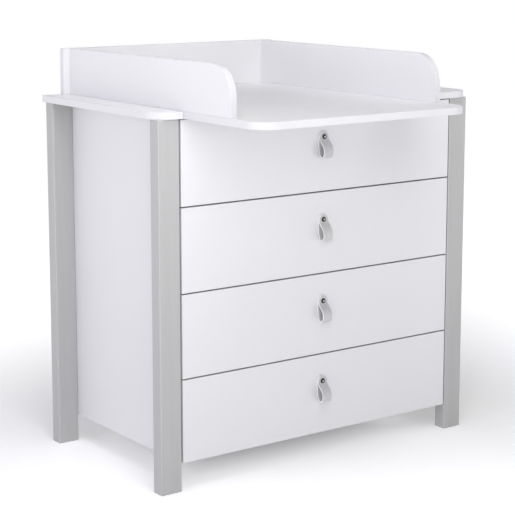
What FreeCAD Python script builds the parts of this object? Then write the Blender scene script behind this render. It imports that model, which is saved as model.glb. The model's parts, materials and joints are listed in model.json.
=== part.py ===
import FreeCAD, Part
import math
import os
import re

import Sketcher

# Changing table: a chest of four drawers on corner posts, with a changing tray on its top.
# Frame: origin on the floor at the middle of the outer box, X to the right seen from the
# front, Y towards the back, Z up. Millimetres. The cabinet is symmetric about X = 0; the
# tray stands to the left of the middle.

DIMENSIONS = [
    # alias, value, what it is
    ("cabinet_width", 900, "over the posts"),
    ("cabinet_depth", 500, "over the posts"),
    ("total_depth", 792, "from the tray's front edge to the back"),
    ("leg_clearance", 66, "floor to the carcass and the lowest drawer front"),
    ("drawer_count", 4, "one above the other"),
    ("drawer_pitch", 194, "from one drawer front to the next"),
    ("drawer_gap", 3, "between drawer fronts, and above the top one"),
    ("board", 16, "thickness of the panels"),
    ("board_arris", 0.8, "rounding of the edge banding"),
    ("hardboard", 3, "thickness of back and drawer bottoms"),
    ("post_width", 54, "along X"),
    ("post_depth", 34, "along Y"),
    ("post_arris", 2.5, "rounding of the post's edges"),
    ("top_overhang", 9, "of the top beyond the posts, sides and front"),
    ("corner_round", 50, "plan radius of the top's and the front board's corners"),
    ("carcass_inset", 18, "front plane to the side panels' front edges"),
    ("rail_depth", 80, "of the flat rails under the top"),
    ("back_setback", 13, "rear face of the back panel to the rear plane"),
    ("groove_depth", 6, "of all grooves"),
    ("tray_width", 582, "over the side walls"),
    ("tray_shift", 100, "middle of the tray, left of the cabinet's middle"),
    ("tray_wall_height", 110, "above the top"),
    ("tray_wall_reach", 187, "of the side walls in front of the front plane"),
    ("tray_wall_round", 68, "radius of the side walls' front upper corners"),
    ("tray_back_ends", 18, "of the back wall beyond each side wall"),
    ("front_side_gap", 4, "between a drawer front and a post"),
    ("box_board", 12, "thickness of the drawer box sides"),
    ("box_height", 140, "of the drawer box sides"),
    ("box_length", 450, "of the drawer box sides"),
    ("box_rise", 22, "lower edge of the front to lower edge of the box"),
    ("bottom_rise", 8, "lower edge of the box to the bottom board"),
    ("runner_space", 13, "between the side panel and the drawer box"),
    ("runner_rise", 50, "lower edge of the box to the runner's middle"),
    ("runner_start", 22, "front plane to the runner's front end"),
    ("runner_length", 450, "of the fixed track and of the inner member"),
    ("runner_sheet", 1.2, "steel thickness"),
    ("track_height", 45, "of the fixed track"),
    ("track_width", 10, "of the fixed track"),
    ("track_lip", 3, "of the turned-in edges of the fixed track"),
    ("middle_height", 31, "of the intermediate member"),
    ("middle_start", 3.6, "side panel to the intermediate member"),
    ("middle_width", 7.4, "of the intermediate member"),
    ("middle_short", 10, "how much shorter the intermediate member is"),
    ("inner_height", 21, "of the inner member"),
    ("inner_width", 6.5, "of the inner member"),
    ("strap_width", 27, "of the leather strap"),
    ("strap_thickness", 2.5, "of the leather"),
    ("strap_above", 13, "screw axis to the strap's top"),
    ("strap_pinch", 6, "screw axis down to where the two layers part"),
    ("strap_fold", 13.5, "outer radius of the fold"),
    ("strap_drop", 36, "screw axis down to the middle of the fold"),
    ("strap_round", 13.4, "radius of the strap's upper corners"),
    ("handle_depth", 63.5, "top edge of a drawer front to the strap's screw"),
    ("button_radius", 6, "head of the strap's screw"),
    ("button_height", 3, "head of the strap's screw"),
    ("button_arris", 1.2, "rounding of the head"),
    ("button_shank", 2, "radius of the strap's screw"),
    ("button_nut_radius", 5, "sleeve nut behind the front"),
    ("button_nut_height", 2, "sleeve nut behind the front"),
    ("confirmat_head", 5, "radius"),
    ("confirmat_sink", 3, "height of the countersunk head"),
    ("confirmat_shank", 3.2, "radius"),
    ("confirmat_length", 50, "over all"),
    ("woodscrew_head", 4, "radius"),
    ("woodscrew_sink", 2.5, "height of the countersunk head"),
    ("woodscrew_shank", 2, "radius"),
    ("post_screw_length", 40, "side panel into post"),
    ("post_screw_inset", 26, "front or rear plane to the screw"),
    ("post_screw_rise", 150, "lower edge of each drawer front to the screw"),
    ("top_screw_length", 28, "rail into top"),
    ("top_screw_outer", 300, "from the cabinet's middle"),
    ("top_screw_inner", 100, "from the cabinet's middle"),
    ("wall_screw_low", 30, "top to the lower screw behind each side wall"),
    ("wall_screw_high", 80, "top to the upper screw behind each side wall"),
    ("wall_screw_pitch", 100, "between the screws under the right wall"),
    ("back_screw_pitch", 200, "between the screws under the back wall"),
    ("board_screw_first", 25, "front plane to the nearest screw of the front board"),
    ("board_screw_pitch", 70, "between the screws of the front board"),
    ("box_screw_inset", 30, "edge of the drawer box side to the screw"),
    ("cam_radius", 7.5, "of a carcass cam"),
    ("cam_depth", 12.5, "of a carcass cam"),
    ("cam_bolt", 3.5, "radius of the cam's bolt"),
    ("cam_reach", 34, "board end to the cam's axis"),
    ("cam_bite", 10, "of the bolt in the other board"),
    ("bottom_cam_inset", 60, "front or rear plane to the bottom's outer cams"),
    ("rail_cam_inset", 18, "edge of a rail to its cams"),
    ("box_cam_radius", 6, "of a drawer cam"),
    ("box_cam_depth", 9, "of a drawer cam"),
    ("box_cam_bolt", 2.5, "radius of its bolt"),
]

NEARLY = 0.01  # two lengths that differ by less are the same

doc = FreeCAD.newDocument("changing_table")
sheet = doc.addObject("Spreadsheet::Sheet", "Dims")
for row, (alias, number, note) in enumerate(DIMENSIONS, start=1):
    sheet.set(f"A{row}", alias)
    sheet.set(f"B{row}", str(number))
    sheet.set(f"C{row}", note)
    sheet.setAlias(f"B{row}", alias)
doc.recompute()

ALIASES = {alias for alias, number, note in DIMENSIONS}
DRAWERS = int(sheet.get("drawer_count"))
nodes = {}

# Places that many pieces share, as formulas of the sheet's values.
REAR = "total_depth / 2"
FRONT = "(total_depth / 2 - cabinet_depth)"
TOP_UNDERSIDE = "(leg_clearance + drawer_count * drawer_pitch)"
TOP_SURFACE = "(leg_clearance + drawer_count * drawer_pitch + board)"
PANEL_INNER = "(cabinet_width / 2 - post_width - board)"
BOX_OUTER = "(cabinet_width / 2 - post_width - board - runner_space)"
FRONT_RAIL = "(total_depth / 2 - cabinet_depth + carcass_inset)"
REAR_RAIL = "(total_depth / 2 - back_setback - hardboard - rail_depth)"
TRAY_LEFT = "(-tray_shift - tray_width / 2)"
TRAY_RIGHT = "(-tray_shift + tray_width / 2)"


def size(alias):
    """The value of one cell."""
    return float(sheet.get(alias))


def bind(thing, prop, formula):
    """Bind a property to a formula of the sheet's aliases."""
    text = re.sub(r"[a-z_]+", lambda m: "Dims." + m[0] if m[0] in ALIASES else m[0], formula)
    thing.setExpression(prop, text)


def place(thing, corner):
    """Bind a thing's position to three formulas."""
    for axis, formula in zip("xyz", corner):
        bind(thing, "Placement.Base." + axis, formula)


def keep(label, thing):
    """Make a thing a sub-part: its label names its file."""
    thing.Label = label
    nodes[label] = thing
    return thing


def edges_at(shape, along, *faces):
    """Names of the edges parallel to an axis that lie on all the given faces, such as x-."""
    box = shape.BoundBox
    limit = {"x-": box.XMin, "x+": box.XMax, "y-": box.YMin, "y+": box.YMax,
             "z-": box.ZMin, "z+": box.ZMax}
    names = []
    for number, edge in enumerate(shape.Edges, start=1):
        middle = edge.CenterOfMass
        run = edge.Vertexes[-1].Point - edge.Vertexes[0].Point
        if run.Length < NEARLY or abs(getattr(run, along)) < run.Length - NEARLY:
            continue
        if all(abs(getattr(middle, face[0]) - limit[face]) < NEARLY for face in faces):
            names.append(f"Edge{number}")
    return names


def round_edges(body, base, names, formula):
    """Round some edges of a body's last feature."""
    doc.recompute()
    feature = body.newObject("PartDesign::Fillet", body.Name + "_round")
    if names:
        feature.Base = (base, names)
    else:
        feature.Base = (base, ["Edge1"])
        feature.UseAllEdges = True
    bind(feature, "Radius", formula)
    return feature


def block(name, corner, lengths, arris="board_arris", corners=(), corner_radius=""):
    """A body that is a box with eased edges and, if asked, some edges fully rounded."""
    body = doc.addObject("PartDesign::Body", name + "_blank")
    place(body, corner)
    last = body.newObject("PartDesign::AdditiveBox", name + "_box")
    for prop, formula in zip(("Length", "Width", "Height"), lengths):
        bind(last, prop, formula)
    doc.recompute()
    if corners:
        names = [edge for along, faces in corners for edge in edges_at(last.Shape, along, *faces)]
        last = round_edges(body, last, names, corner_radius)
    if arris:
        last = round_edges(body, last, (), arris)
    doc.recompute()
    return body


def slot(body, corner, lengths):
    """Cut a box out of a body, placed in the body's own frame."""
    before = body.Shape.Volume
    cutter = body.newObject("PartDesign::SubtractiveBox", body.Name + "_slot")
    for prop, formula in zip(("Length", "Width", "Height"), lengths):
        bind(cutter, prop, formula)
    place(cutter, corner)
    doc.recompute()
    if body.Shape.Volume > before - NEARLY:
        raise RuntimeError(body.Name + ": the slot cuts nothing")


def mirror(name, source):
    """The source's mirror image in the plane X = 0."""
    image = doc.addObject("Part::Mirroring", name)
    image.Source = source
    image.Normal = FreeCAD.Vector(1, 0, 0)
    return image


def group(label, members):
    """Several separate solids that share one node."""
    compound = doc.addObject("Part::Compound", label)
    compound.Links = members
    return keep(label, compound)


def drilled(label, blank, fasteners):
    """A blank less its fasteners: the holes have exactly their shape."""
    tool = fasteners[0]
    if len(fasteners) > 1:
        tool = doc.addObject("Part::Compound", label + "_holes")
        tool.Links = fasteners
    cut = doc.addObject("Part::Cut", label)
    cut.Base = blank
    cut.Tool = tool
    return keep(label, cut)


HEADINGS = {
    "+x": FreeCAD.Rotation(FreeCAD.Vector(0, 1, 0), 90),
    "-x": FreeCAD.Rotation(FreeCAD.Vector(0, 1, 0), -90),
    "+y": FreeCAD.Rotation(FreeCAD.Vector(1, 0, 0), -90),
    "-y": FreeCAD.Rotation(FreeCAD.Vector(1, 0, 0), 90),
    "+z": FreeCAD.Rotation(),
}


def rod(name, at, heading, radius, length):
    """A cylinder that starts at a place and runs along a heading."""
    cylinder = doc.addObject("Part::Cylinder", name)
    bind(cylinder, "Radius", radius)
    bind(cylinder, "Height", length)
    cylinder.Placement = FreeCAD.Placement(FreeCAD.Vector(), HEADINGS[heading])
    place(cylinder, at)
    return cylinder


def screw(name, kind, at, heading, length):
    """A countersunk screw: its head's face is at the place, and it runs along the heading."""
    shank = rod(name + "_shank", at, heading, kind + "_shank", length)
    head = doc.addObject("Part::Cone", name + "_head")
    bind(head, "Radius1", kind + "_head")
    bind(head, "Radius2", kind + "_shank")
    bind(head, "Height", kind + "_sink")
    head.Placement = FreeCAD.Placement(FreeCAD.Vector(), HEADINGS[heading])
    place(head, at)
    whole = doc.addObject("Part::Fuse", name)
    whole.Base = shank
    whole.Tool = head
    return whole


def cam_bolt(name, bolt, disc):
    """A cam fitting: a bolt and the disc that draws it tight, each given as rod arguments."""
    whole = doc.addObject("Part::Fuse", name)
    whole.Base = rod(name + "_bolt", *bolt)
    whole.Tool = rod(name + "_disc", *disc)
    return whole


def carcass_cams():
    """Cams under the ends of the bottom and of both rails, seven at each side."""
    bottom = [f"{FRONT} + bottom_cam_inset", f"{FRONT} + cabinet_depth / 2",
              f"{REAR} - bottom_cam_inset"]
    rails = [f"{rail} + {offset}" for rail in (FRONT_RAIL, REAR_RAIL)
             for offset in ("rail_cam_inset", "rail_depth - rail_cam_inset")]
    left = []
    for underside, places in (("leg_clearance", bottom), (f"{TOP_UNDERSIDE} - board", rails)):
        for y in places:
            left.append(cam_bolt(
                f"cam_{len(left) + 1}",
                ([f"-{PANEL_INNER} - cam_bite", y, f"{underside} + board / 2"], "+x",
                 "cam_bolt", "cam_bite + cam_reach"),
                ([f"-{PANEL_INNER} + cam_reach", y, underside], "+z", "cam_radius", "cam_depth")))
    right = [mirror(cam.Name + "_right", cam) for cam in left]
    return group("carcass_cams", left + right)


def carcass_screws():
    """Screws from the side panels into the posts, and from the rails into the top."""
    left = []
    for y in (f"{FRONT} + post_screw_inset", f"{REAR} - post_screw_inset"):
        for level in range(DRAWERS):
            z = f"leg_clearance + {level} * drawer_pitch + post_screw_rise"
            left.append(screw(f"post_screw_{len(left) + 1}", "woodscrew",
                              [f"-{PANEL_INNER}", y, z], "-x", "post_screw_length"))
    for rail in (FRONT_RAIL, REAR_RAIL):
        for x in ("-top_screw_outer", "-top_screw_inner"):
            left.append(screw(f"top_screw_{len(left) + 1}", "woodscrew",
                              [x, f"{rail} + rail_depth / 2", f"{TOP_UNDERSIDE} - board"], "+z",
                              "top_screw_length"))
    right = [mirror(one.Name + "_right", one) for one in left]
    return group("carcass_screws", left + right)


def tray_screws():
    """Screws through the back wall into the side walls, and up from below into the walls."""
    screws = []

    def add(x, y, z, heading):
        name = f"tray_screw_{len(screws) + 1}"
        screws.append(screw(name, "confirmat", [x, y, z], heading, "confirmat_length"))

    left = f"{TRAY_LEFT} + board / 2"
    right = f"{TRAY_RIGHT} - board / 2"
    for x in (left, right):
        for height in ("wall_screw_low", "wall_screw_high"):
            add(x, REAR, f"{TOP_SURFACE} + {height}", "-y")
        for step in (2, 1, 0):
            add(x, f"{FRONT} - board_screw_first - {step} * board_screw_pitch", TOP_UNDERSIDE, "+z")
    for step in (-1, 0, 1):
        add(right, f"{FRONT} + cabinet_depth / 2 + {step} * wall_screw_pitch", TOP_UNDERSIDE, "+z")
    for step in (-1, 0, 1):
        add(f"-tray_shift + {step} * back_screw_pitch", f"{REAR} - board / 2", TOP_UNDERSIDE, "+z")
    return group("tray_screws", screws)


def channel(name, start, width, height, y, z, length, opens_inward):
    """A steel channel along Y at the left side; start and width run in from the side panel."""
    body = block(name, [f"-{PANEL_INNER} + {start}", y, f"{z} - {height} / 2"],
                 [width, length, height], arris="")
    hollow = [f"{width} - runner_sheet", length, f"{height} - 2 * runner_sheet"]
    slot(body, ["runner_sheet" if opens_inward else "0", "0", "runner_sheet"], hollow)
    return body


def fixed_track(number, z):
    """The track on the side panel, with turned-in lips that hold the balls."""
    body = block(f"track_{number}",
                 [f"-{PANEL_INNER}", f"{FRONT} + runner_start", f"{z} - track_height / 2"],
                 ["track_width", "runner_length", "track_height"], arris="")
    slot(body, ["runner_sheet", "0", "runner_sheet"],
         ["track_width - 2 * runner_sheet", "runner_length", "track_height - 2 * runner_sheet"])
    slot(body, ["track_width - runner_sheet", "0", "runner_sheet + track_lip"],
         ["runner_sheet", "runner_length", "track_height - 2 * (runner_sheet + track_lip)"])
    return body


def strap(number, z):
    """The leather strap: folded once, both ends stacked under the screw."""
    body = doc.addObject("PartDesign::Body", f"strap_{number}_blank")
    place(body, ["0", FRONT, z])
    plane = [item for item in body.Origin.OriginFeatures if item.Role == "YZ_Plane"][0]
    sketch = body.newObject("Sketcher::SketchObject", f"strap_{number}_profile")
    sketch.AttachmentSupport = [(plane, "")]
    sketch.MapMode = "FlatFace"

    thick, above, pinch = size("strap_thickness"), size("strap_above"), size("strap_pinch")
    fold, drop = size("strap_fold"), size("strap_drop")
    point = FreeCAD.Vector
    middle = point(-fold, -drop)
    to_pinch = point(-2 * thick, -pinch) - middle
    turn = math.atan2(to_pinch.y, to_pinch.x) + math.acos(fold / to_pinch.Length)
    outward = point(math.cos(turn), math.sin(turn))
    slope = point(-2 * thick, -pinch) - (middle + outward * fold)
    inner_end = middle + outward * (fold - thick)
    apex = inner_end + slope * ((-thick - inner_end.x) / slope.x)

    def line(start, end):
        return sketch.addGeometry(Part.LineSegment(start, end))

    def arc(radius):
        circle = Part.Circle(middle, point(0, 0, 1), radius)
        return sketch.addGeometry(Part.ArcOfCircle(circle, turn, 2 * math.pi))

    back = line(point(0, above), point(0, -drop))
    outer_fold = arc(fold)
    front = line(middle + outward * fold, point(-2 * thick, -pinch))
    stack = line(point(-2 * thick, -pinch), point(-2 * thick, above))
    top = line(point(-2 * thick, above), point(0, above))
    inner_back = line(apex, point(-thick, -drop))
    inner_fold = arc(fold - thick)
    inner_front = line(inner_end, apex)

    start, end, centre, origin = 1, 2, 3, -1
    rules = [
        ("Tangent", back, end, outer_fold, end), ("Tangent", outer_fold, start, front, start),
        ("Coincident", front, end, stack, start), ("Coincident", stack, end, top, start),
        ("Coincident", top, end, back, start), ("Vertical", back), ("Vertical", stack),
        ("Horizontal", top), ("PointOnObject", back, start, -2),
        ("Tangent", inner_back, end, inner_fold, end),
        ("Tangent", inner_fold, start, inner_front, start),
        ("Coincident", inner_front, end, inner_back, start),
        ("Coincident", inner_fold, centre, outer_fold, centre),
        ("Vertical", inner_back), ("Parallel", inner_front, front),
    ]
    for rule in rules:
        sketch.addConstraint(Sketcher.Constraint(*rule))
    sizes = [
        ("fold", ("Radius", outer_fold, fold), "strap_fold"),
        ("inside", ("Radius", inner_fold, fold - thick), "strap_fold - strap_thickness"),
        ("above", ("DistanceY", origin, 1, back, start, above), "strap_above"),
        ("drop", ("DistanceY", outer_fold, centre, origin, 1, drop), "strap_drop"),
        ("layers", ("DistanceX", stack, start, origin, 1, 2 * thick), "2 * strap_thickness"),
        ("pinch", ("DistanceY", stack, start, origin, 1, pinch), "strap_pinch"),
    ]
    for name, rule, formula in sizes:
        index = sketch.addConstraint(Sketcher.Constraint(*rule))
        sketch.renameConstraint(index, name)
        bind(sketch, "Constraints." + name, formula)
    doc.recompute()

    pad = body.newObject("PartDesign::Pad", f"strap_{number}_pad")
    pad.Profile = sketch
    pad.SideType = "Symmetric"
    bind(pad, "Length", "strap_width")
    doc.recompute()
    corners = edges_at(pad.Shape, "y", "x-", "z+") + edges_at(pad.Shape, "y", "x+", "z+")
    round_edges(body, pad, corners, "strap_round")
    return body


def strap_screw(number, z):
    """The screw through strap and drawer front, with its sleeve nut inside the drawer."""
    face = f"{FRONT} - 2 * strap_thickness"
    head = rod(f"button_{number}_head", ["0", f"{face} - button_height", z], "+y",
               "button_radius", "button_height")
    doc.recompute()
    dome = doc.addObject("Part::Fillet", f"button_{number}_dome")
    dome.Base = head
    rim = [n for n, edge in enumerate(head.Shape.Edges, start=1)
           if abs(edge.CenterOfMass.y - head.Shape.BoundBox.YMin) < 0.01]
    dome.Edges = [(n, size("button_arris"), size("button_arris")) for n in rim]
    shank = rod(f"button_{number}_shank", ["0", face, z], "+y", "button_shank",
                "2 * strap_thickness + board")
    nut = rod(f"button_{number}_nut", ["0", f"{FRONT} + board", z], "+y",
              "button_nut_radius", "button_nut_height")
    whole = doc.addObject("Part::MultiFuse", f"drawer_{number}_strap_screw")
    whole.Shapes = [dome, shank, nut]
    return keep(f"drawer_{number}_strap_screw", whole)


def box_screws(number, z):
    """Screws at the box's back corners and cam bolts at its front corners."""
    left = []
    for end, height in (("low", "box_screw_inset"), ("high", "box_height - box_screw_inset")):
        level = f"{z} + {height}"
        rear = [f"-{BOX_OUTER}", f"{FRONT} + board + box_length - box_board / 2", level]
        left.append(screw(f"box_{number}_screw_{end}", "confirmat", rear, "+x",
                          "confirmat_length"))
        bolt = [f"-{BOX_OUTER} + box_board / 2", f"{FRONT} + board - cam_bite", level]
        disc = [f"-{BOX_OUTER} + box_board - box_cam_depth", f"{FRONT} + board + cam_reach", level]
        left.append(cam_bolt(f"box_{number}_cam_{end}",
                             (bolt, "+y", "box_cam_bolt", "cam_bite + cam_reach"),
                             (disc, "+x", "box_cam_radius", "box_cam_depth")))
    right = [mirror(one.Name + "_right", one) for one in left]
    return group(f"drawer_{number}_box_screws", left + right)


def drawer(number):
    """One drawer, number 1 at the top. Returns its fixed track."""
    name = f"drawer_{number}"
    low = f"(leg_clearance + {DRAWERS - number} * drawer_pitch)"
    box_low = f"({low} + box_rise)"
    handle = f"({low} + drawer_pitch - drawer_gap - handle_depth)"
    box_front = f"{FRONT} + board"

    screws = box_screws(number, box_low)
    button = strap_screw(number, handle)
    front_width = "(cabinet_width - 2 * post_width - 2 * front_side_gap)"
    front = block(name + "_front", [f"-{front_width} / 2", FRONT, low],
                  [front_width, "board", "drawer_pitch - drawer_gap"])
    slot(front, [f"{front_width} / 2 - {BOX_OUTER} + box_board - groove_depth",
                 "board - groove_depth", "box_rise + bottom_rise"],
         [f"2 * ({BOX_OUTER} - box_board + groove_depth)", "groove_depth", "hardboard"])
    drilled(name + "_front", front, [screws, button])

    side = block(name + "_side_left", [f"-{BOX_OUTER}", box_front, box_low],
                 ["box_board", "box_length", "box_height"])
    slot(side, ["box_board - groove_depth", "0", "bottom_rise"],
         ["groove_depth", "box_length", "hardboard"])
    left = drilled(name + "_side_left", side, [screws])
    keep(name + "_side_right", mirror(name + "_side_right", left))

    back = block(name + "_back",
                 [f"-{BOX_OUTER} + box_board", f"{box_front} + box_length - box_board", box_low],
                 [f"2 * ({BOX_OUTER} - box_board)", "box_board", "box_height"])
    slot(back, ["0", "0", "bottom_rise"],
         [f"2 * ({BOX_OUTER} - box_board)", "groove_depth", "hardboard"])
    drilled(name + "_back", back, [screws])

    bottom = block(name + "_bottom",
                   [f"-{BOX_OUTER} + box_board - groove_depth", f"{box_front} - groove_depth",
                    f"{box_low} + bottom_rise"],
                   [f"2 * ({BOX_OUTER} - box_board + groove_depth)",
                    "box_length - box_board + 2 * groove_depth", "hardboard"], arris="")
    keep(name + "_bottom", bottom)
    drilled(name + "_strap", strap(number, handle), [button])

    runner_z = f"({box_low} + runner_rise)"
    runner_y = f"{FRONT} + runner_start"
    inner = channel(f"inner_{number}", "runner_space - inner_width", "inner_width",
                    "inner_height", runner_y, runner_z, "runner_length", False)
    middle = channel(f"middle_{number}", "middle_start", "middle_width", "middle_height",
                     f"{runner_y} + middle_short / 2", runner_z,
                     "(runner_length - middle_short)", True)
    group(name + "_runner_inner", [inner, mirror(f"inner_{number}_right", inner)])
    group(name + "_runner_middle", [middle, mirror(f"middle_{number}_right", middle)])
    return fixed_track(number, runner_z)


def carcass(cams, screws):
    """Side panels, bottom, back, rails and posts."""
    inner_width = f"2 * {PANEL_INNER}"
    panel_height = "drawer_count * drawer_pitch"
    to_back = "(cabinet_depth - carcass_inset - back_setback - hardboard)"

    side = block("side_panel_left",
                 [f"-{PANEL_INNER} - board", f"{FRONT} + carcass_inset", "leg_clearance"],
                 ["board", "cabinet_depth - carcass_inset", panel_height])
    slot(side, ["board - groove_depth", to_back, "0"], ["groove_depth", "hardboard", panel_height])
    left = drilled("side_panel_left", side, [cams, screws])
    keep("side_panel_right", mirror("side_panel_right", left))

    bottom = block("bottom_panel", [f"-{PANEL_INNER}", f"{FRONT} + carcass_inset", "leg_clearance"],
                   [inner_width, to_back, "board"])
    drilled("bottom_panel", bottom, [cams])

    for name, y in (("front_top_rail", FRONT_RAIL), ("rear_top_rail", REAR_RAIL)):
        rail = block(name, [f"-{PANEL_INNER}", y, f"{TOP_UNDERSIDE} - board"],
                     [inner_width, "rail_depth", "board"])
        drilled(name, rail, [cams, screws])

    back = block("back_panel", [f"-{PANEL_INNER} - groove_depth",
                                f"{FRONT} + carcass_inset + {to_back}", "leg_clearance"],
                 [f"{inner_width} + 2 * groove_depth", "hardboard", panel_height], arris="")
    keep("back_panel", back)

    for place_name, y in (("front", FRONT), ("rear", f"{REAR} - post_depth")):
        post = block(f"post_{place_name}_left", ["-cabinet_width / 2", y, "0"],
                     ["post_width", "post_depth", TOP_UNDERSIDE], arris="post_arris")
        left_post = drilled(f"post_{place_name}_left", post, [screws])
        right_name = f"post_{place_name}_right"
        keep(right_name, mirror(right_name, left_post))


def top(screws, tray):
    """The cabinet's top: rounded at its front corners, flush at the back."""
    panel = block("top_panel",
                  ["-cabinet_width / 2 - top_overhang", f"{FRONT} - top_overhang", TOP_UNDERSIDE],
                  ["cabinet_width + 2 * top_overhang", "cabinet_depth + top_overhang", "board"],
                  corners=[("z", ("x-", "y-")), ("z", ("x+", "y-"))],
                  corner_radius="corner_round")
    drilled("top_panel", panel, [screws, tray])


def tray(screws):
    """Three walls on the top, and a board that continues the top to the front."""
    back = block("tray_back",
                 [f"{TRAY_LEFT} - tray_back_ends", f"{REAR} - board", TOP_SURFACE],
                 ["tray_width + 2 * tray_back_ends", "board", "tray_wall_height"])
    drilled("tray_back", back, [screws])

    for name, x in (("tray_left", TRAY_LEFT), ("tray_right", f"{TRAY_RIGHT} - board")):
        wall = block(name, [x, f"{FRONT} - tray_wall_reach", TOP_SURFACE],
                     ["board", "tray_wall_reach + cabinet_depth - board", "tray_wall_height"],
                     corners=[("x", ("y-", "z+"))], corner_radius="tray_wall_round")
        drilled(name, wall, [screws])

    reach = "(total_depth - cabinet_depth - top_overhang)"
    board = block("tray_front_board", [TRAY_LEFT, f"-{REAR}", TOP_UNDERSIDE],
                  ["tray_width", reach, "board"],
                  corners=[("z", ("x-", "y-")), ("z", ("x+", "y-"))],
                  corner_radius="corner_round")
    drilled("tray_front_board", board, [screws])


def check_and_write():
    """Stop at any failed object or bad shape, then write one STEP file for each sub-part."""
    doc.recompute()
    for thing in doc.Objects:
        if "Invalid" in thing.State or "Error" in thing.State:
            raise RuntimeError(f"{thing.Name} failed: {thing.State}")
    for label, thing in nodes.items():
        if thing.Shape.isNull() or not thing.Shape.isValid() or not thing.Shape.Solids:
            raise RuntimeError(label + " has no valid solid")
    os.makedirs("parts", exist_ok=True)
    for label, thing in nodes.items():
        thing.Shape.exportStep(os.path.join("parts", label + ".step"))
    print(len(nodes), "sub-parts,", sum(len(n.Shape.Solids) for n in nodes.values()), "solids")


screws_of_carcass = carcass_screws()
screws_of_tray = tray_screws()
carcass(carcass_cams(), screws_of_carcass)
top(screws_of_carcass, screws_of_tray)
tray(screws_of_tray)
tracks = [drawer(number) for number in range(1, DRAWERS + 1)]
group("runner_tracks_left", tracks)
group("runner_tracks_right", [mirror(track.Name + "_right", track) for track in tracks])
check_and_write()
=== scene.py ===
import json
import math

import bmesh
import bpy
from mathutils import Matrix, Vector
from mathutils.geometry import interpolate_bezier


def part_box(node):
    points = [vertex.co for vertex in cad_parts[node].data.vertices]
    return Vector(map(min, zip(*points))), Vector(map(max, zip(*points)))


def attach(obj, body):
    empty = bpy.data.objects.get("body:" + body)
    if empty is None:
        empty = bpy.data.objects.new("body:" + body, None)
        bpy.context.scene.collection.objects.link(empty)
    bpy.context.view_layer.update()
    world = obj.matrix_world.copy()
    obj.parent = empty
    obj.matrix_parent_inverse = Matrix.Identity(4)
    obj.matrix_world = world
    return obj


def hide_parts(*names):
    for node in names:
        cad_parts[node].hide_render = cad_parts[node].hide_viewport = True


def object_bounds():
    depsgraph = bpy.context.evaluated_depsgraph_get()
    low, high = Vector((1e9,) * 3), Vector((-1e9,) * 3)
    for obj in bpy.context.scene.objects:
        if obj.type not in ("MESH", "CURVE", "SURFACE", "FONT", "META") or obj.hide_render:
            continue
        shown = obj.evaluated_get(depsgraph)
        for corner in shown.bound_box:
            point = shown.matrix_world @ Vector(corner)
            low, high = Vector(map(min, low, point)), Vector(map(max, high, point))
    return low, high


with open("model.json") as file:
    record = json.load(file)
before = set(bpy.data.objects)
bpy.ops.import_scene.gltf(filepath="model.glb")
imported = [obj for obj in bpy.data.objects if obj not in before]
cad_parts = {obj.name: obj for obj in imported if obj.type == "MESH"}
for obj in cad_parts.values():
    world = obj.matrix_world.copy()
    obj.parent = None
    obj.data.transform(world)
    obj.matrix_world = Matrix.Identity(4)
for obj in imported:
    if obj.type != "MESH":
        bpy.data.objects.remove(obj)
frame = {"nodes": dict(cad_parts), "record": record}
cad_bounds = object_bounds()
MM = 0.001

# Base colours, as linear red, green and blue.
WHITE_BOARD = (0.718, 0.712, 0.726)
WHITE_BAND = (0.675, 0.669, 0.685)
WHITE_FOIL = (0.78, 0.775, 0.785)
WHITE_HARDBOARD = (0.74, 0.735, 0.74)
POST_GREY = (0.433, 0.431, 0.430)
LEATHER_GREY = (0.61, 0.61, 0.615)
LEATHER_CUT = (0.86, 0.86, 0.875)
DARK_NICKEL = (0.055, 0.05, 0.048)
# The screw head's dish is a lighter nickel: a painted reflection.
PAINTED_REFLECTION_NICKEL = (0.60, 0.59, 0.58)
ZINC = (0.62, 0.63, 0.65)
CAST_ZINC = (0.50, 0.51, 0.53)
FLOOR_WHITE = (0.95, 0.95, 0.95)

FLOOR_SIZE = 80

# The floor glows as painted light: not at all under the object, a painted shadow there, and more
# further out. Each step grows from nothing to its full level between two distances outside the
# bottom panel's outline.
FLOOR_PAINTED_GLOW = ((-0.21, -0.03, 0.24), (0.15, 1.60, 0.51))

# The soft surrounding light, as colours that add up. Each one grows from nothing to full as a
# ray's direction along an axis goes from the first number to the second.
SKY = (
    ("X", 0.0, -1.0, (0.530, 0.532, 0.645)),
    ("X", 0.0, 1.0, (0.130, 0.130, 0.134)),
    ("Y", 0.0, -1.0, (0.045, 0.045, 0.042)),
    ("Y", 0.0, 1.0, (0.130, 0.130, 0.134)),
    ("Z", 0.36, 0.17, (1.0, 1.0, 1.0)),
)

# Soft boxes: place, aim, size, watts and the angle of the beam in degrees.
LAMPS = (
    ("overhead", (-0.6, -0.8, 3.0), (0.0, 0.1, 0.9), (1.6, 1.6), 38.5, 180.0),
    ("key", (-1.3, -2.2, 2.2), (0.1, 0.0, 0.8), (1.6, 1.2), 25.0, 180.0),
    ("tray_fill", (-1.6, -1.9, 1.5), (-0.1, 0.15, 0.93), (0.7, 0.5), 0.28, 35.0),
)

# The camera, by its place round the middle of the object's box.
CAMERA_AZIMUTH = -36.03
CAMERA_ELEVATION = 9.5
CAMERA_DISTANCE = 3.88
CAMERA_LENS = 110.37
CAMERA_AIM = (0.0, 0.145, 0.091)
CAMERA_SHIFT = (-0.004, -0.097)
CAMERA_SENSOR = 36
CAMERA_REACH = 200

# The strap, in millimetres: its reach is forward from the drawer's face, and its drop and the
# length above are from the screw's axis.
STRAP_WIDTH = 27
STRAP_THICKNESS = 2.5
STRAP_SOFTNESS = 0.6
STRAP_REACH = 24
STRAP_DROP = 49.5
STRAP_ABOVE = 13

# How finely the strap's mesh is divided: each rounded edge, each flat face, each run between
# two knots of its line, each rounded end and the length between the ends.
EDGE_STEPS = 4
FACE_STEPS = 8
KNOT_POINTS = 25
END_STEPS = 14
LENGTH_STEPS = 90

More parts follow.
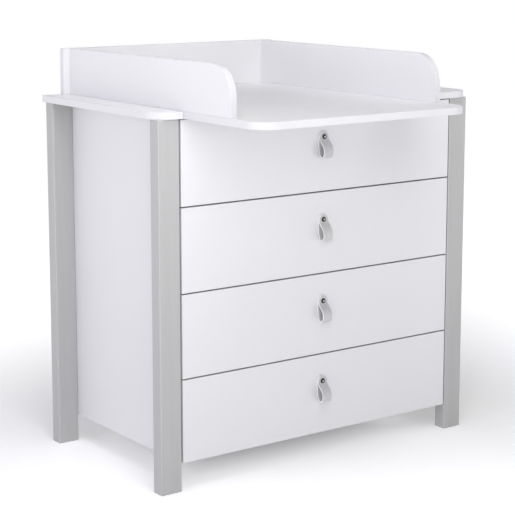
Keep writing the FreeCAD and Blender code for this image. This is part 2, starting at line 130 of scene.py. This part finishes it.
# How far each strap hangs back, in millimetres, from the top drawer down.
STRAP_SLACKS = (0.7, 0.0, 0.4, 0.15)

# The strap's screw, in millimetres: radius and distance behind the front of its head.
SCREW_PROFILE = [
    (0.0, 0.75), (1.2, 0.72), (2.0, 0.60), (2.3, 0.30), (2.5, 0.06), (2.9, 0.0), (3.9, 0.08),
    (4.7, 0.32), (5.15, 0.75), (5.4, 1.25), (5.45, 1.9), (5.5, 2.2), (5.95, 2.35), (6.0, 2.6),
    (6.0, 2.9), (5.9, 3.0), (2.0, 3.0), (2.0, 23.5), (2.3, 24.0), (4.6, 24.0), (5.0, 24.15),
    (5.0, 25.2), (4.6, 25.8), (4.0, 26.0), (2.3, 26.0), (2.1, 25.8), (2.0, 25.1), (0.0, 25.0),
]
DISH_RINGS = 3  # the profile's first steps, which take the lighter nickel of a painted reflection
SCREW_SIDES = 48

# The colour sockets of Blender's Mix node, which has others for numbers and vectors.
MIX_COLOUR_INPUTS = (6, 7)
MIX_COLOUR_OUTPUT = 2


class Surface:
    """A material being made: each call adds one node and gives back its output."""

    def __init__(self, name, constants=None):
        self.material = bpy.data.materials.new(name)
        self.material.use_nodes = True
        self.tree = self.material.node_tree
        self.shader = self.tree.nodes["Principled BSDF"]
        self.place = self.tree.nodes.new("ShaderNodeTexCoord")
        for socket, value in (constants or {}).items():
            self.shader.inputs[socket].default_value = value

    def node(self, kind, inputs, output=0, **settings):
        made = self.tree.nodes.new(kind)
        for name, value in settings.items():
            setattr(made, name, value)
        for socket, value in inputs.items():
            if isinstance(value, bpy.types.NodeSocket):
                self.tree.links.new(value, made.inputs[socket])
            else:
                made.inputs[socket].default_value = value
        return made.outputs[output]

    def stretched(self, stretch):
        """The piece's own coordinates, stretched along its axes."""
        return self.node("ShaderNodeMapping", {"Vector": self.place.outputs["Object"],
                                               "Scale": stretch})

    def noise(self, scale, detail=3.0, stretch=(1, 1, 1), distortion=0.0):
        return self.node("ShaderNodeTexNoise", {"Vector": self.stretched(stretch), "Scale": scale,
                                                "Detail": detail, "Distortion": distortion})

    def math(self, operation, first, second=0.0):
        return self.node("ShaderNodeMath", {0: first, 1: second}, operation=operation)

    def ramp(self, value, *stops):
        """Colours or grey levels along a value."""
        made = self.tree.nodes.new("ShaderNodeValToRGB")
        made.color_ramp.elements.remove(made.color_ramp.elements[0])
        for number, (position, colour) in enumerate(stops):
            if number:
                stop = made.color_ramp.elements.new(position)
            else:
                stop = made.color_ramp.elements[0]
                stop.position = position
            grey = isinstance(colour, (int, float))
            stop.color = (colour,) * 3 + (1.0,) if grey else tuple(colour) + (1.0,)
        self.tree.links.new(value, made.inputs["Fac"])
        return made.outputs["Color"]

    def mix(self, factor, first, second):
        """Two colours mixed by a factor."""
        colours = {}
        for socket, colour in zip(MIX_COLOUR_INPUTS, (first, second)):
            is_link = isinstance(colour, bpy.types.NodeSocket)
            colours[socket] = colour if is_link else tuple(colour) + (1.0,)
        return self.node("ShaderNodeMix", {0: factor, **colours}, output=MIX_COLOUR_OUTPUT,
                         data_type="RGBA")

    def facing(self, axis):
        """How squarely the surface faces along an axis, from 0 to 1."""
        turned = self.node("ShaderNodeVectorMath", {0: self.place.outputs["Normal"], 1: axis},
                           output=1, operation="DOT_PRODUCT")
        return self.math("ABSOLUTE", turned)

    def bump(self, height, depth, strength=1.0, over=None):
        """A relief of a real depth, in metres, on top of another."""
        inputs = {"Height": height, "Distance": depth, "Strength": strength}
        if over:
            inputs["Normal"] = over
        return self.node("ShaderNodeBump", inputs)

    def finish(self, colour, roughness, relief):
        for socket, value in (("Base Color", colour), ("Roughness", roughness), ("Normal", relief)):
            self.tree.links.new(value, self.shader.inputs[socket])
        return self.material


def tone(colour, factor):
    """A colour made lighter or darker."""
    return tuple(min(1.0, part * factor) for part in colour)


def coated_board(name, axis, face=WHITE_BOARD, band=WHITE_BAND):
    """White melamine-faced board: pearl grain, and smoother edge bands with a fine glue line.

    axis is the direction of the board's thickness."""
    surface = Surface(name, {"Specular IOR Level": 0.45})
    cloud = surface.noise(2.6, 4.0)
    pearl = surface.noise(1500.0, 2.0)
    wave = surface.noise(45.0, 2.0)
    facing = surface.facing(axis)
    on_face = surface.ramp(facing, (0.66, 0.0), (0.72, 1.0))
    glue_line = surface.ramp(facing, (0.80, 0.0), (0.90, 1.0), (0.985, 1.0), (0.998, 0.0))
    face_colour = surface.ramp(cloud, (0.35, tone(face, 0.985)), (0.65, tone(face, 1.008)))
    band_colour = surface.ramp(cloud, (0.35, tone(band, 0.99)), (0.65, tone(band, 1.01)))
    colour = surface.mix(on_face, band_colour, face_colour)
    colour = surface.mix(surface.math("MULTIPLY", glue_line, 0.35), colour, tone(face, 0.62))
    smudges = surface.ramp(surface.noise(7.0, 5.0), (0.3, 0.34), (0.7, 0.42))
    roughness = surface.mix(on_face, (0.30, 0.30, 0.30), smudges)
    relief = surface.bump(wave, 0.00008)
    relief = surface.bump(surface.math("MULTIPLY", pearl, on_face), 0.00003, over=relief)
    return surface.finish(colour, roughness, relief)


def lacquered_wood(name, colour):
    """Opaque lacquer on solid wood: the grain shows only as a faint relief along the post."""
    surface = Surface(name, {"Specular IOR Level": 0.45, "Coat Weight": 0.08,
                             "Coat Roughness": 0.3})
    grain = surface.noise(70.0, 5.0, stretch=(1, 1, 0.035), distortion=0.6)
    pores = surface.noise(900.0, 2.0, stretch=(1, 1, 0.05))
    peel = surface.noise(420.0, 2.0)
    cloud = surface.noise(3.5, 3.0)
    squarest = surface.math("MAXIMUM", surface.facing((1, 0, 0)), surface.facing((0, 1, 0)))
    squarest = surface.math("MAXIMUM", squarest, surface.facing((0, 0, 1)))
    # Painted highlight: the colour turns lighter along the rounded edges, where the light catches
    # them.
    painted_edge_highlight = surface.ramp(squarest, (0.80, 1.0), (0.97, 0.0))
    shade = surface.ramp(grain, (0.35, tone(colour, 0.975)), (0.65, tone(colour, 1.015)))
    shade = surface.mix(surface.math("MULTIPLY", cloud, 0.12), shade, tone(colour, 0.93))
    shade = surface.mix(surface.math("MULTIPLY", painted_edge_highlight, 0.55), shade, tone(colour, 1.22))
    roughness = surface.ramp(surface.noise(12.0, 4.0), (0.3, 0.36), (0.7, 0.46))
    relief = surface.bump(grain, 0.00012)
    relief = surface.bump(pores, 0.00003, over=relief)
    relief = surface.bump(peel, 0.00002, over=relief)
    return surface.finish(shade, roughness, relief)


def foil_board(name, colour):
    """White foil on the drawer boxes' boards, with a faint emboss along each board."""
    surface = Surface(name, {"Specular IOR Level": 0.4})
    emboss = surface.noise(260.0, 3.0, stretch=(0.08, 0.08, 1))
    cloud = surface.noise(5.0, 3.0)
    shade = surface.ramp(cloud, (0.3, tone(colour, 0.97)), (0.7, tone(colour, 1.01)))
    roughness = surface.ramp(surface.noise(15.0, 4.0), (0.3, 0.42), (0.7, 0.52))
    return surface.finish(shade, roughness, surface.bump(emboss, 0.00006))


def painted_hardboard(name, colour):
    """Thin hardboard under matt white paint, its fibres just felt."""
    surface = Surface(name, {"Specular IOR Level": 0.3})
    fibres = surface.noise(380.0, 5.0, distortion=1.2)
    cloud = surface.noise(4.0, 4.0)
    shade = surface.ramp(cloud, (0.3, tone(colour, 0.96)), (0.7, tone(colour, 1.01)))
    roughness = surface.ramp(fibres, (0.3, 0.55), (0.7, 0.68))
    return surface.finish(shade, roughness, surface.bump(fibres, 0.0001))


def leather(name, colour):
    """Smooth grey leather: fine pebbled grain with painted shade in its crevices, soft wrinkles and
    uneven dye.
    """
    surface = Surface(name, {"Specular IOR Level": 0.4, "Sheen Weight": 0.08,
                             "Sheen Roughness": 0.5})
    bent = surface.node("ShaderNodeVectorMath", {
        0: surface.stretched((1, 1, 1)),
        1: surface.node("ShaderNodeVectorMath", {
            0: surface.node("ShaderNodeTexNoise", {"Vector": surface.stretched((1, 1, 1)),
                                                   "Scale": 700.0}, output=1),
            1: (0.0008, 0.0008, 0.0008)}, operation="MULTIPLY")}, operation="ADD")
    pebbles = surface.node("ShaderNodeTexVoronoi", {"Vector": bent, "Scale": 950.0},
                           feature="DISTANCE_TO_EDGE")
    grain = surface.ramp(pebbles, (0.0, 0.0), (0.16, 0.8), (0.45, 1.0))
    wrinkles = surface.noise(160.0, 4.0, distortion=0.8)
    dye = surface.ramp(surface.noise(70.0, 4.0), (0.3, tone(colour, 0.93)),
                       (0.7, tone(colour, 1.04)))
    # Painted shade: the colour darkens to 0.78 of the dye in the crevices between the pebbles.
    shade = surface.mix(grain, tone(colour, 0.78), dye)
    roughness = surface.ramp(surface.noise(220.0, 3.0), (0.3, 0.50), (0.7, 0.64))
    relief = surface.bump(wrinkles, 0.00025)
    relief = surface.bump(grain, 0.00012, over=relief)
    return surface.finish(shade, roughness, relief)


def cut_leather(name, colour):
    """The painted cut edge of the leather, with its fibres showing through."""
    surface = Surface(name, {"Specular IOR Level": 0.35})
    fibres = surface.noise(1300.0, 4.0)
    shade = surface.ramp(fibres, (0.3, tone(colour, 0.92)), (0.7, tone(colour, 1.05)))
    roughness = surface.ramp(fibres, (0.3, 0.5), (0.7, 0.7))
    return surface.finish(shade, roughness, surface.bump(fibres, 0.00008))


def metal(name, colour, smoothness, stretch=(1, 1, 1)):
    """Plated or rolled metal: fine lines along the stretch, and cloudy brightness."""
    surface = Surface(name, {"Metallic": 1.0})
    lines = surface.noise(1400.0, 3.0, stretch=stretch)
    cloud = surface.noise(40.0, 4.0)
    shade = surface.ramp(cloud, (0.3, tone(colour, 0.88)), (0.7, tone(colour, 1.08)))
    roughness = surface.ramp(lines, (0.3, smoothness), (0.7, smoothness + 0.14))
    return surface.finish(shade, roughness, surface.bump(lines, 0.00002))


def wear(node, material):
    """Give a CAD node its finish."""
    for slot in frame["nodes"][node].material_slots:
        slot.material = material


def dress_cad_nodes():
    """Finish every CAD node by its record's slot, and the boards by their thickness too."""
    boards = {axis: coated_board("white_melamine_" + axis, vector)
              for axis, vector in (("x", (1, 0, 0)), ("y", (0, 1, 0)), ("z", (0, 0, 1)))}
    finishes = {
        "grey_lacquer": lacquered_wood("grey_lacquer_wood", POST_GREY),
        "drawer_board": foil_board("drawer_board_foil", WHITE_FOIL),
        "white_hardboard": painted_hardboard("white_hardboard_paint", WHITE_HARDBOARD),
        "dark_nickel": metal("dark_nickel_plate", DARK_NICKEL, 0.25),
        "zinc_plated_steel": metal("zinc_plate", ZINC, 0.30),
        "zinc_casting": metal("zinc_cast", CAST_ZINC, 0.45),
        "runner_steel": metal("runner_strip", ZINC, 0.28, stretch=(1, 0.02, 1)),
        "grey_leather": leather("grey_leather_grain", LEATHER_GREY),
    }
    for part in frame["record"]["subparts"]:
        node, slot = part["node"], part["material_slot"]
        if slot == "white_melamine":
            low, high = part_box(node)
            thinnest = min(range(3), key=lambda n: (high - low)[n])
            wear(node, boards["xyz"[thinnest]])
        else:
            wear(node, finishes[slot])
    return finishes


def add_piece(name, mesh, body, stands_for):
    """A new piece that rides on a body and stands for a CAD node."""
    piece = bpy.data.objects.new(name, mesh)
    bpy.context.scene.collection.objects.link(piece)
    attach(piece, body)
    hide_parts(stands_for)
    return piece


def strap_line(slack):
    """The strap's middle line from its rear end to its front end, as (forward, up) points.

    Distances are in millimetres, forward from the drawer's face and up from the screw's axis.
    slack pulls the fold back and up a little, so that no two straps hang quite alike."""
    rear_face, front_face = STRAP_THICKNESS / 2, 1.5 * STRAP_THICKNESS
    reach = STRAP_REACH - STRAP_THICKNESS / 2 - slack
    lowest = STRAP_DROP - STRAP_THICKNESS / 2 - slack
    knots = [
        # point, handle before, handle after: the rear end, down the drawer's face, the fold's
        # bottom, its front, where the two runs meet under the screw, and the front end
        ((rear_face, STRAP_ABOVE), None, (rear_face, 2)),
        ((rear_face, -19), (rear_face, -8), (rear_face, -31)),
        ((0.57 * reach, -lowest), (0.2 * reach, -lowest), (0.84 * reach, -lowest)),
        ((reach, -0.71 * lowest), (reach, -0.90 * lowest), (reach, -0.40 * lowest)),
        ((front_face, -3.5), (front_face + 1.6, -12.5), (front_face, 0)),
        ((front_face, STRAP_ABOVE), (front_face, 8), None),
    ]
    line = []
    for (start, _, leave), (end, arrive, _) in zip(knots, knots[1:]):
        points = interpolate_bezier(Vector(start).to_3d(), Vector(leave).to_3d(),
                                    Vector(arrive).to_3d(), Vector(end).to_3d(), KNOT_POINTS)
        line += [point.to_2d() for point in points[1 if line else 0:]]
    return line


def resampled(line, places):
    """Points and directions at given distances along a line."""
    lengths = [0.0]
    for first, second in zip(line, line[1:]):
        lengths.append(lengths[-1] + (second - first).length)
    found, piece = [], 0
    for place in places:
        while piece < len(line) - 2 and lengths[piece + 1] < place * lengths[-1]:
            piece += 1
        share = (place * lengths[-1] - lengths[piece]) / (lengths[piece + 1] - lengths[piece])
        along = (line[piece + 1] - line[piece]).normalized()
        found.append((line[piece].lerp(line[piece + 1], share), along))
    return found, lengths[-1]


def strap_mesh(name, slack, skins):
    """A strip of leather with rounded ends and softened edges, swept along its line."""
    line = strap_line(slack)
    whole = resampled(line, [0.0])[1]
    half, end = STRAP_WIDTH / 2, STRAP_WIDTH / 2 / whole
    # the first ring lies a little way in from the tip, so that it has a width
    rounded = [end * (1 - math.cos(math.pi / 2 * (n + 0.35) / END_STEPS))
               for n in range(END_STEPS)]
    middle = [end + (1 - 2 * end) * n / LENGTH_STEPS for n in range(LENGTH_STEPS + 1)]
    places = rounded + middle + [1 - place for place in reversed(rounded)]
    stations = resampled(line, places)[0]

    mesh = bmesh.new()
    rings = []
    for place, (point, along) in zip(places, stations):
        from_end = min(place, 1 - place) * whole
        inside = max(0.0, half - from_end)
        width = math.sqrt(max(0.0, half * half - inside * inside))
        soft = min(STRAP_SOFTNESS, width * 0.5)
        across = Vector((along.y, -along.x))
        ring = []
        for sideways, through in edge_outline(width, STRAP_THICKNESS / 2, soft):
            spot = point + across * through
            ring.append(mesh.verts.new((sideways * MM, -spot.x * MM, spot.y * MM)))
        rings.append(ring)
    for first, second in zip(rings, rings[1:]):
        for n, corner in enumerate(first):
            after = (n + 1) % len(first)
            face = mesh.faces.new((corner, first[after], second[after], second[n]))
            face.smooth = True
            face.material_index = 1 if outline_is_edge(n) else 0
    for ring in (rings[0], list(reversed(rings[-1]))):
        face = mesh.faces.new(list(reversed(ring)))
        face.material_index = 1
    bmesh.ops.recalc_face_normals(mesh, faces=mesh.faces)
    data = bpy.data.meshes.new(name)
    mesh.to_mesh(data)
    mesh.free()
    for skin in skins:
        data.materials.append(skin)
    return data


def edge_outline(width, thick, soft):
    """The strap's cross-section: flat faces, and edges rounded over in a few steps."""
    points = []
    for turn, (sx, sy) in enumerate(((1, 1), (-1, 1), (-1, -1), (1, -1))):
        for step in range(EDGE_STEPS + 1):
            angle = math.pi / 2 * (turn + step / EDGE_STEPS)
            points.append((sx * (width - soft) + soft * math.cos(angle),
                           sy * (thick - soft) + soft * math.sin(angle)))
        if turn in (0, 2):
            flat = (width - soft) * sx
            points += [(flat * (1 - 2 * n / FACE_STEPS), sy * thick) for n in range(1, FACE_STEPS)]
    return points


def outline_is_edge(number):
    """True for the outline's sides that belong to the strap's cut edges."""
    corner, run = EDGE_STEPS + 1, FACE_STEPS - 1
    on_left = corner + run <= number < corner + run + 2 * corner - 1
    on_right = number < EDGE_STEPS or number >= 3 * corner + 2 * run
    return on_left or on_right


def screw_mesh(name, finishes):
    """A turned screw with its sleeve nut: a shallow dish in a dark rounded head, the dish lighter
    as a painted reflection.
    """
    mesh = bmesh.new()
    rings = []
    for radius, back in SCREW_PROFILE:
        if radius == 0:
            rings.append([mesh.verts.new((0, back * MM, 0))])
            continue
        turns = [2 * math.pi * n / SCREW_SIDES for n in range(SCREW_SIDES)]
        rings.append([mesh.verts.new((radius * math.cos(turn) * MM, back * MM,
                                      radius * math.sin(turn) * MM)) for turn in turns])
    for number, (first, second) in enumerate(zip(rings, rings[1:])):
        for n in range(SCREW_SIDES):
            after = (n + 1) % SCREW_SIDES
            corners = [first[n % len(first)], first[after % len(first)],
                       second[after % len(second)], second[n % len(second)]]
            face = mesh.faces.new(list(dict.fromkeys(corners)))
            face.smooth = True
            face.material_index = 1 if number < DISH_RINGS else 0
    bmesh.ops.recalc_face_normals(mesh, faces=mesh.faces)
    data = bpy.data.meshes.new(name)
    mesh.to_mesh(data)
    mesh.free()
    for finish in finishes:
        data.materials.append(finish)
    return data


def hang_straps(finishes):
    """A strap and its screw on each drawer."""
    skins = (finishes["grey_leather"], cut_leather("grey_leather_cut_edge", LEATHER_CUT))
    # The second finish is a painted reflection in the screw head's dish.
    plates = (finishes["dark_nickel"], metal("painted_reflection_dish", PAINTED_REFLECTION_NICKEL, 0.3))
    for number, slack in enumerate(STRAP_SLACKS, start=1):
        body = f"drawer_{number}"
        strap_low, strap_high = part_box(body + "_strap")
        screw_low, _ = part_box(body + "_strap_screw")
        axis = strap_high.z - STRAP_ABOVE * MM
        strap = strap_mesh(body + "_strap_leather", slack, skins)
        strap.transform(Matrix.Translation((0, strap_high.y, axis)))
        add_piece(strap.name, strap, body, body + "_strap")
        screw = screw_mesh(body + "_strap_stud", plates)
        screw.transform(Matrix.Translation((0, screw_low.y, axis)))
        add_piece(screw.name, screw, body, body + "_strap_screw")


def studio_floor():
    """A plain pale floor with painted light: it glows away from the object, and not under it, a
    painted shadow.
    """
    bpy.ops.mesh.primitive_plane_add(size=FLOOR_SIZE)
    floor = bpy.context.object
    floor.name = "floor"
    paint = Surface("floor_paint", {"Specular IOR Level": 0.2, "Emission Color": (1, 1, 1, 1)})
    cloud = paint.noise(0.8, 3.0)
    colour = paint.ramp(cloud, (0.3, tone(FLOOR_WHITE, 0.99)), (0.7, FLOOR_WHITE))
    rough = paint.ramp(cloud, (0.3, 0.85), (0.7, 0.9))
    low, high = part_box("bottom_panel")
    apart = paint.tree.nodes.new("ShaderNodeSeparateXYZ")
    paint.tree.links.new(paint.place.outputs["Object"], apart.inputs[0])
    outside = []
    for axis in (0, 1):
        middle, half = (low[axis] + high[axis]) / 2, (high[axis] - low[axis]) / 2
        from_middle = paint.math("ABSOLUTE", paint.math("SUBTRACT", apart.outputs[axis], middle))
        outside.append(paint.math("SUBTRACT", from_middle, half))
    away = paint.math("MAXIMUM", *outside)
    # Painted light: no glow under the bottom panel, which is a painted shadow, and more glow
    # further out.
    painted_glow = paint.math("ADD", *[
        paint.node("ShaderNodeMapRange", {"Value": away, "From Min": start, "From Max": end,
                                          "To Max": level}, interpolation_type="SMOOTHSTEP")
        for start, end, level in FLOOR_PAINTED_GLOW])
    paint.tree.links.new(painted_glow, paint.shader.inputs["Emission Strength"])
    floor.data.materials.append(paint.finish(colour, rough, paint.bump(cloud, 0.0002)))


def surrounding_light():
    """A soft light from all sides, strongest from the left, with a white horizon."""
    world = bpy.data.worlds.new("studio")
    bpy.context.scene.world = world
    world.use_nodes = True
    tree = world.node_tree
    where = tree.nodes.new("ShaderNodeTexCoord")
    apart = tree.nodes.new("ShaderNodeSeparateXYZ")
    tree.links.new(where.outputs["Generated"], apart.inputs[0])
    total = None
    for axis, nothing, full, colour in SKY:
        share = tree.nodes.new("ShaderNodeMapRange")
        share.inputs["From Min"].default_value = nothing
        share.inputs["From Max"].default_value = full
        tree.links.new(apart.outputs[axis], share.inputs["Value"])
        scaled = tree.nodes.new("ShaderNodeVectorMath")
        scaled.operation = "SCALE"
        scaled.inputs[0].default_value = colour
        tree.links.new(share.outputs[0], scaled.inputs["Scale"])
        if total:
            added = tree.nodes.new("ShaderNodeVectorMath")
            tree.links.new(total, added.inputs[0])
            tree.links.new(scaled.outputs[0], added.inputs[1])
            total = added.outputs[0]
        else:
            total = scaled.outputs[0]
    tree.links.new(total, tree.nodes["Background"].inputs["Color"])


def soft_boxes():
    """The lamps above and in front of the object."""
    for name, place, aim, size, watts, spread in LAMPS:
        lamp = bpy.data.lights.new(name, "AREA")
        lamp.shape = "RECTANGLE"
        lamp.size, lamp.size_y = size
        lamp.energy = watts
        lamp.spread = math.radians(spread)
        holder = bpy.data.objects.new(name, lamp)
        bpy.context.scene.collection.objects.link(holder)
        holder.location = place
        direction = Vector(aim) - holder.location
        holder.rotation_euler = direction.to_track_quat("-Z", "Y").to_euler()


def camera():
    """The camera in front of the object and to its left, level enough to see the tray's floor."""
    low, high = cad_bounds
    aim = (low + high) / 2 + Vector(CAMERA_AIM)
    azimuth, elevation = math.radians(CAMERA_AZIMUTH), math.radians(CAMERA_ELEVATION)
    back = Vector((math.sin(azimuth) * math.cos(elevation),
                   -math.cos(azimuth) * math.cos(elevation), math.sin(elevation)))
    data = bpy.data.cameras.new("camera")
    data.sensor_width = CAMERA_SENSOR
    data.lens = CAMERA_LENS
    data.shift_x, data.shift_y = CAMERA_SHIFT
    data.clip_end = CAMERA_REACH
    made = bpy.data.objects.new("camera", data)
    bpy.context.scene.collection.objects.link(made)
    made.location = aim + back * CAMERA_DISTANCE
    made.rotation_euler = (-back).to_track_quat("-Z", "Y").to_euler()
    bpy.context.scene.camera = made


bpy.context.scene.view_settings.view_transform = "Standard"
camera()
studio_floor()
surrounding_light()
soft_boxes()
hang_straps(dress_cad_nodes())
